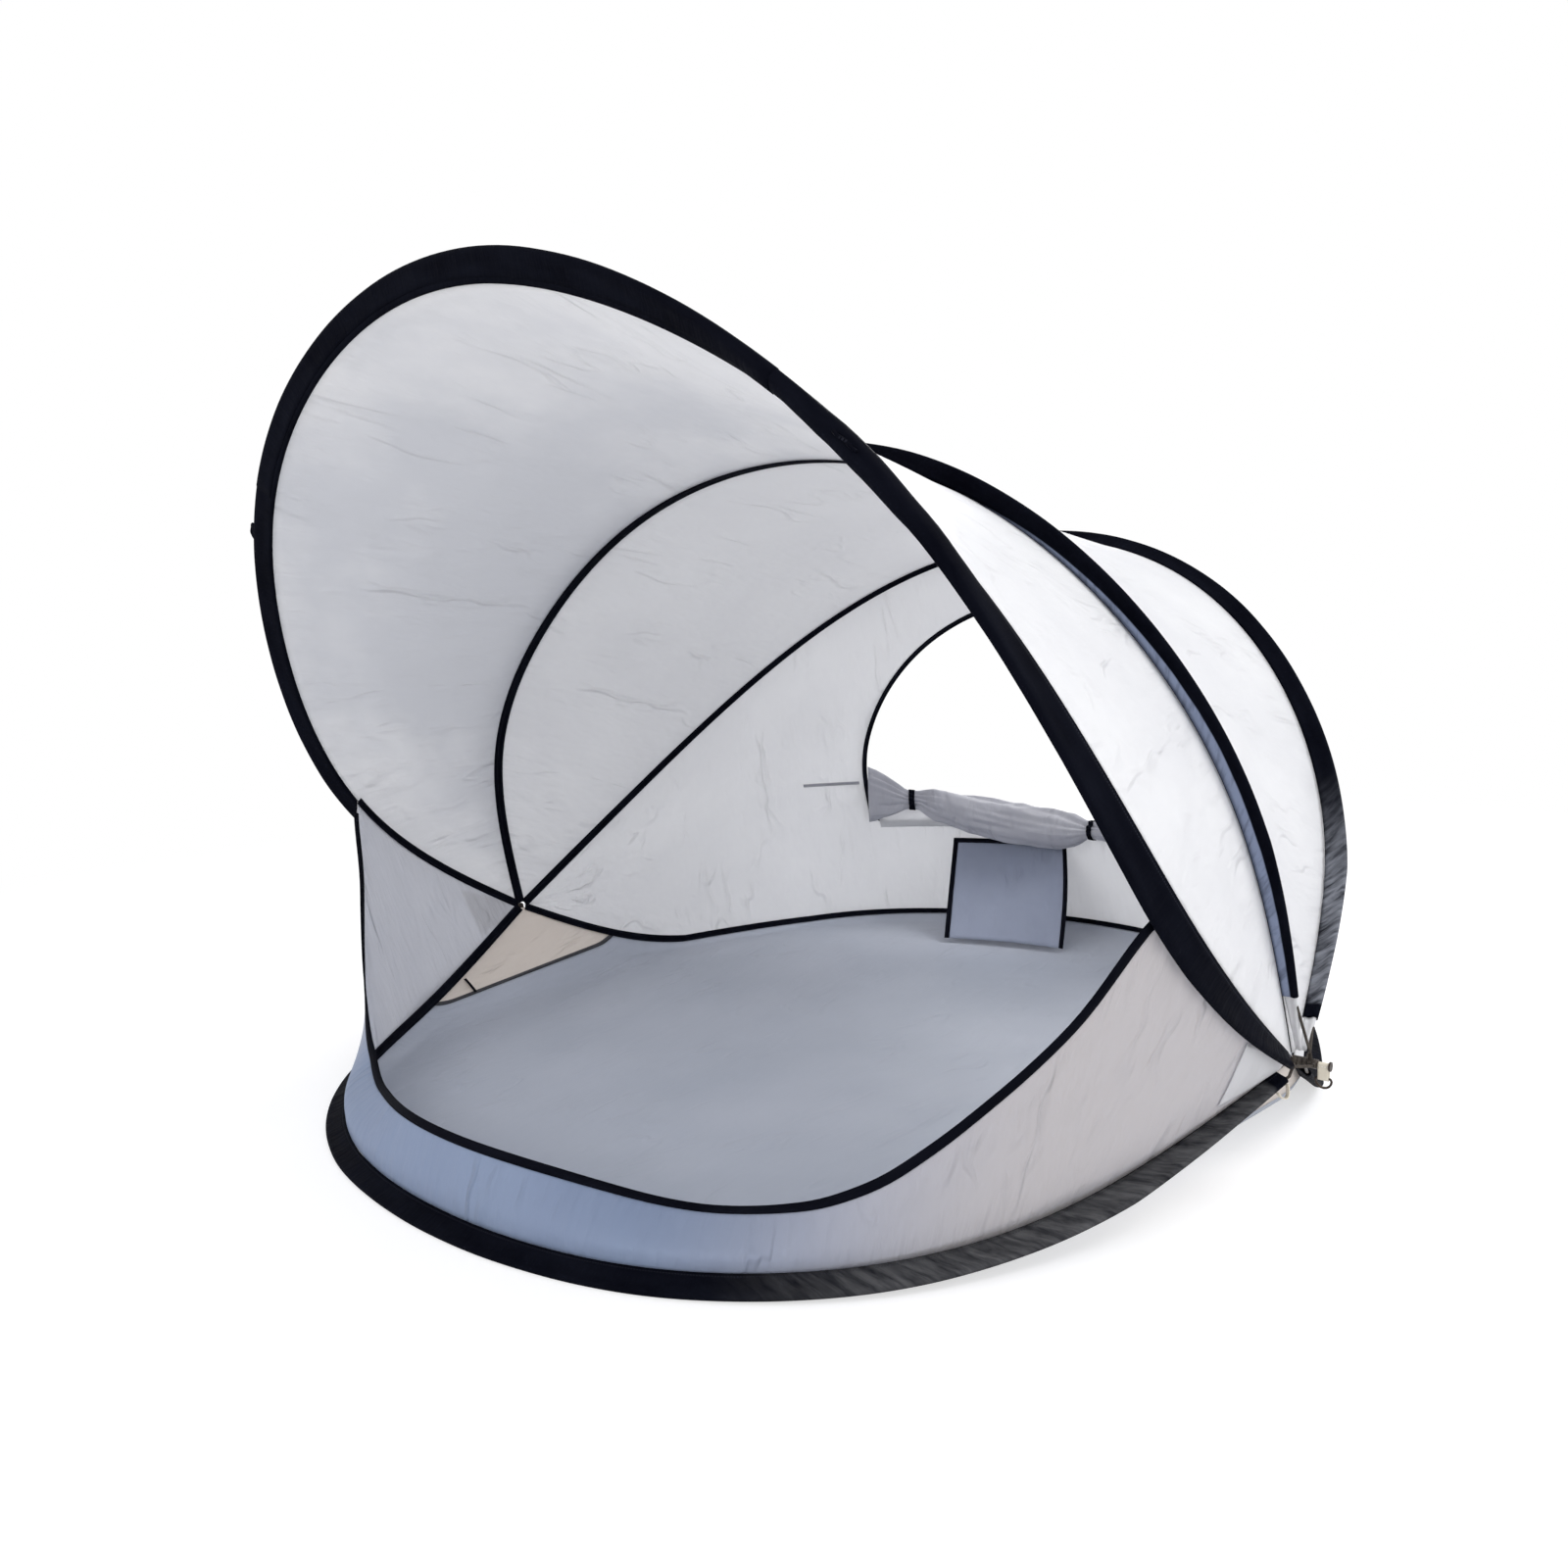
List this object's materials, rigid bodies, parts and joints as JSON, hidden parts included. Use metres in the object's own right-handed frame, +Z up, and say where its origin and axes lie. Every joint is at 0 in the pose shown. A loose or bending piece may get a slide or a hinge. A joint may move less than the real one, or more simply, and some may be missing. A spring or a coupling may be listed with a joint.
{
  "type": "pop-up beach tent",
  "caption": "Pop-up beach shelter: sprung hoops turning on two corner pins, with taut fabric roof, back wall with an arched window and rolled flap, low front skirt and sewn-in floor.",
  "frame": {"origin": "on the ground, midway between the two corners where the hoops meet, on the underside of the floor", "axes": "+X to the right for someone facing the doorway from outside; +Y from the doorway to the back wall; +Z up"},
  "size_m": [1.6946, 1.7486, 1.1628],
  "materials": {
    "black_fabric": "matt black woven polyester",
    "silver_fabric": "smooth coated polyester, silver white",
    "grey_fabric": "smooth coated polyester, light grey",
    "floor_fabric": "coated groundsheet, blue grey",
    "tan_fabric": "thin polyester, lit through, tan",
    "spring_steel": "drawn spring wire",
    "dark_metal": "dark brown coating",
    "cream_webbing": "woven tape, cream"
  },
  "bodies": {
    "front_base_and_floor": {"front_base_wire": "spring_steel", "front_base_wire_eye_right": "spring_steel", "front_base_wire_eye_left": "spring_steel", "front_base_sleeve": "black_fabric", "corner_pin_right": "dark_metal", "corner_pin_left": "dark_metal", "corner_ring_right": "dark_metal", "corner_ring_left": "dark_metal", "corner_webbing_right": "cream_webbing", "corner_webbing_left": "cream_webbing", "peg_loop_right": "cream_webbing", "peg_loop_left": "cream_webbing", "front_skirt": "grey_fabric", "corner_patch_right": "silver_fabric", "corner_patch_left": "silver_fabric", "doorway_binding": "black_fabric", "floor_sheet": "floor_fabric", "gusset_right": "tan_fabric", "gusset_left": "tan_fabric", "gusset_strap_right": "grey_fabric", "gusset_strap_left": "grey_fabric", "front_base_seam_tape": "black_fabric"},
    "rear_base_hoop": {"rear_base_wire": "spring_steel", "rear_base_wire_eye_right": "spring_steel", "rear_base_wire_eye_left": "spring_steel", "rear_base_sleeve": "black_fabric"},
    "floor_rear_edge": {"rear_base_seam_tape": "black_fabric"},
    "back_hoop": {"back_wire": "spring_steel", "back_wire_eye_right": "spring_steel", "back_wire_eye_left": "spring_steel", "back_sleeve": "black_fabric", "back_seam_tape": "black_fabric", "back_wall": "silver_fabric", "window_binding": "black_fabric", "rolled_window_flap": "grey_fabric", "roll_tie_left": "black_fabric", "roll_tie_middle": "black_fabric", "roll_tie_right": "black_fabric", "wall_strap": "grey_fabric", "pocket": "grey_fabric", "pocket_binding_left": "black_fabric", "pocket_binding_right": "black_fabric", "pocket_binding_top": "black_fabric"},
    "middle_hoop": {"middle_wire": "spring_steel", "middle_wire_eye_right": "spring_steel", "middle_wire_eye_left": "spring_steel", "middle_sleeve": "black_fabric", "middle_seam_tape": "black_fabric", "roof_panel": "silver_fabric"},
    "canopy_hoop": {"canopy_wire": "spring_steel", "canopy_wire_eye_right": "spring_steel", "canopy_wire_eye_left": "spring_steel", "canopy_sleeve": "black_fabric", "canopy_crown_cover": "black_fabric", "crown_tab_right": "black_fabric", "crown_tab_left": "black_fabric", "canopy_seam_tape_right": "black_fabric", "canopy_seam_tape_left": "black_fabric", "canopy_panel": "silver_fabric"}
  },
  "joints": [
    {"name": "rear_base_fold", "type": "hinge", "parent": "back_hoop", "child": "rear_base_hoop", "pos_m": [0, 0, 0.155], "axis": [1, 0, 0], "range_deg": [0, 46.6]},
    {"name": "floor_fold", "type": "hinge", "parent": "front_base_and_floor", "child": "floor_rear_edge", "pos_m": [0, 0, 0.155], "axis": [1, 0, 0], "range_deg": [0, 153.1], "deforming": ["floor_sheet", "gusset_right", "gusset_left", "gusset_strap_right", "gusset_strap_left", "front_base_seam_tape", "rear_base_seam_tape"]},
    {"name": "back_fold", "type": "hinge", "parent": "middle_hoop", "child": "back_hoop", "pos_m": [0, 0, 0.155], "axis": [1, 0, 0], "range_deg": [0, 43.1], "deforming": ["back_wall", "back_seam_tape", "window_binding", "rolled_window_flap", "roll_tie_left", "roll_tie_middle", "roll_tie_right", "wall_strap", "pocket", "pocket_binding_left", "pocket_binding_right", "pocket_binding_top"]},
    {"name": "middle_fold", "type": "hinge", "parent": "canopy_hoop", "child": "middle_hoop", "pos_m": [0, 0, 0.155], "axis": [1, 0, 0], "range_deg": [0, 27.6], "deforming": ["roof_panel", "middle_seam_tape"]},
    {"name": "canopy_fold", "type": "hinge", "parent": "front_base_and_floor", "child": "canopy_hoop", "pos_m": [0, 0, 0.155], "axis": [1, 0, 0], "range_deg": [0, 36], "stiffness_Nm_per_rad": 2, "springref_deg": -17.19, "deforming": ["canopy_panel", "canopy_seam_tape_right", "canopy_seam_tape_left", "front_skirt", "doorway_binding", "corner_patch_right", "corner_patch_left"]}
  ],
  "couplings": [
    {"joint": "middle_fold", "follows": "canopy_fold", "ratio": 0.76389},
    {"joint": "back_fold", "follows": "canopy_fold", "ratio": 1.1944},
    {"joint": "rear_base_fold", "follows": "canopy_fold", "ratio": 1.2917},
    {"joint": "floor_fold", "follows": "canopy_fold", "ratio": 4.25}
  ]
}
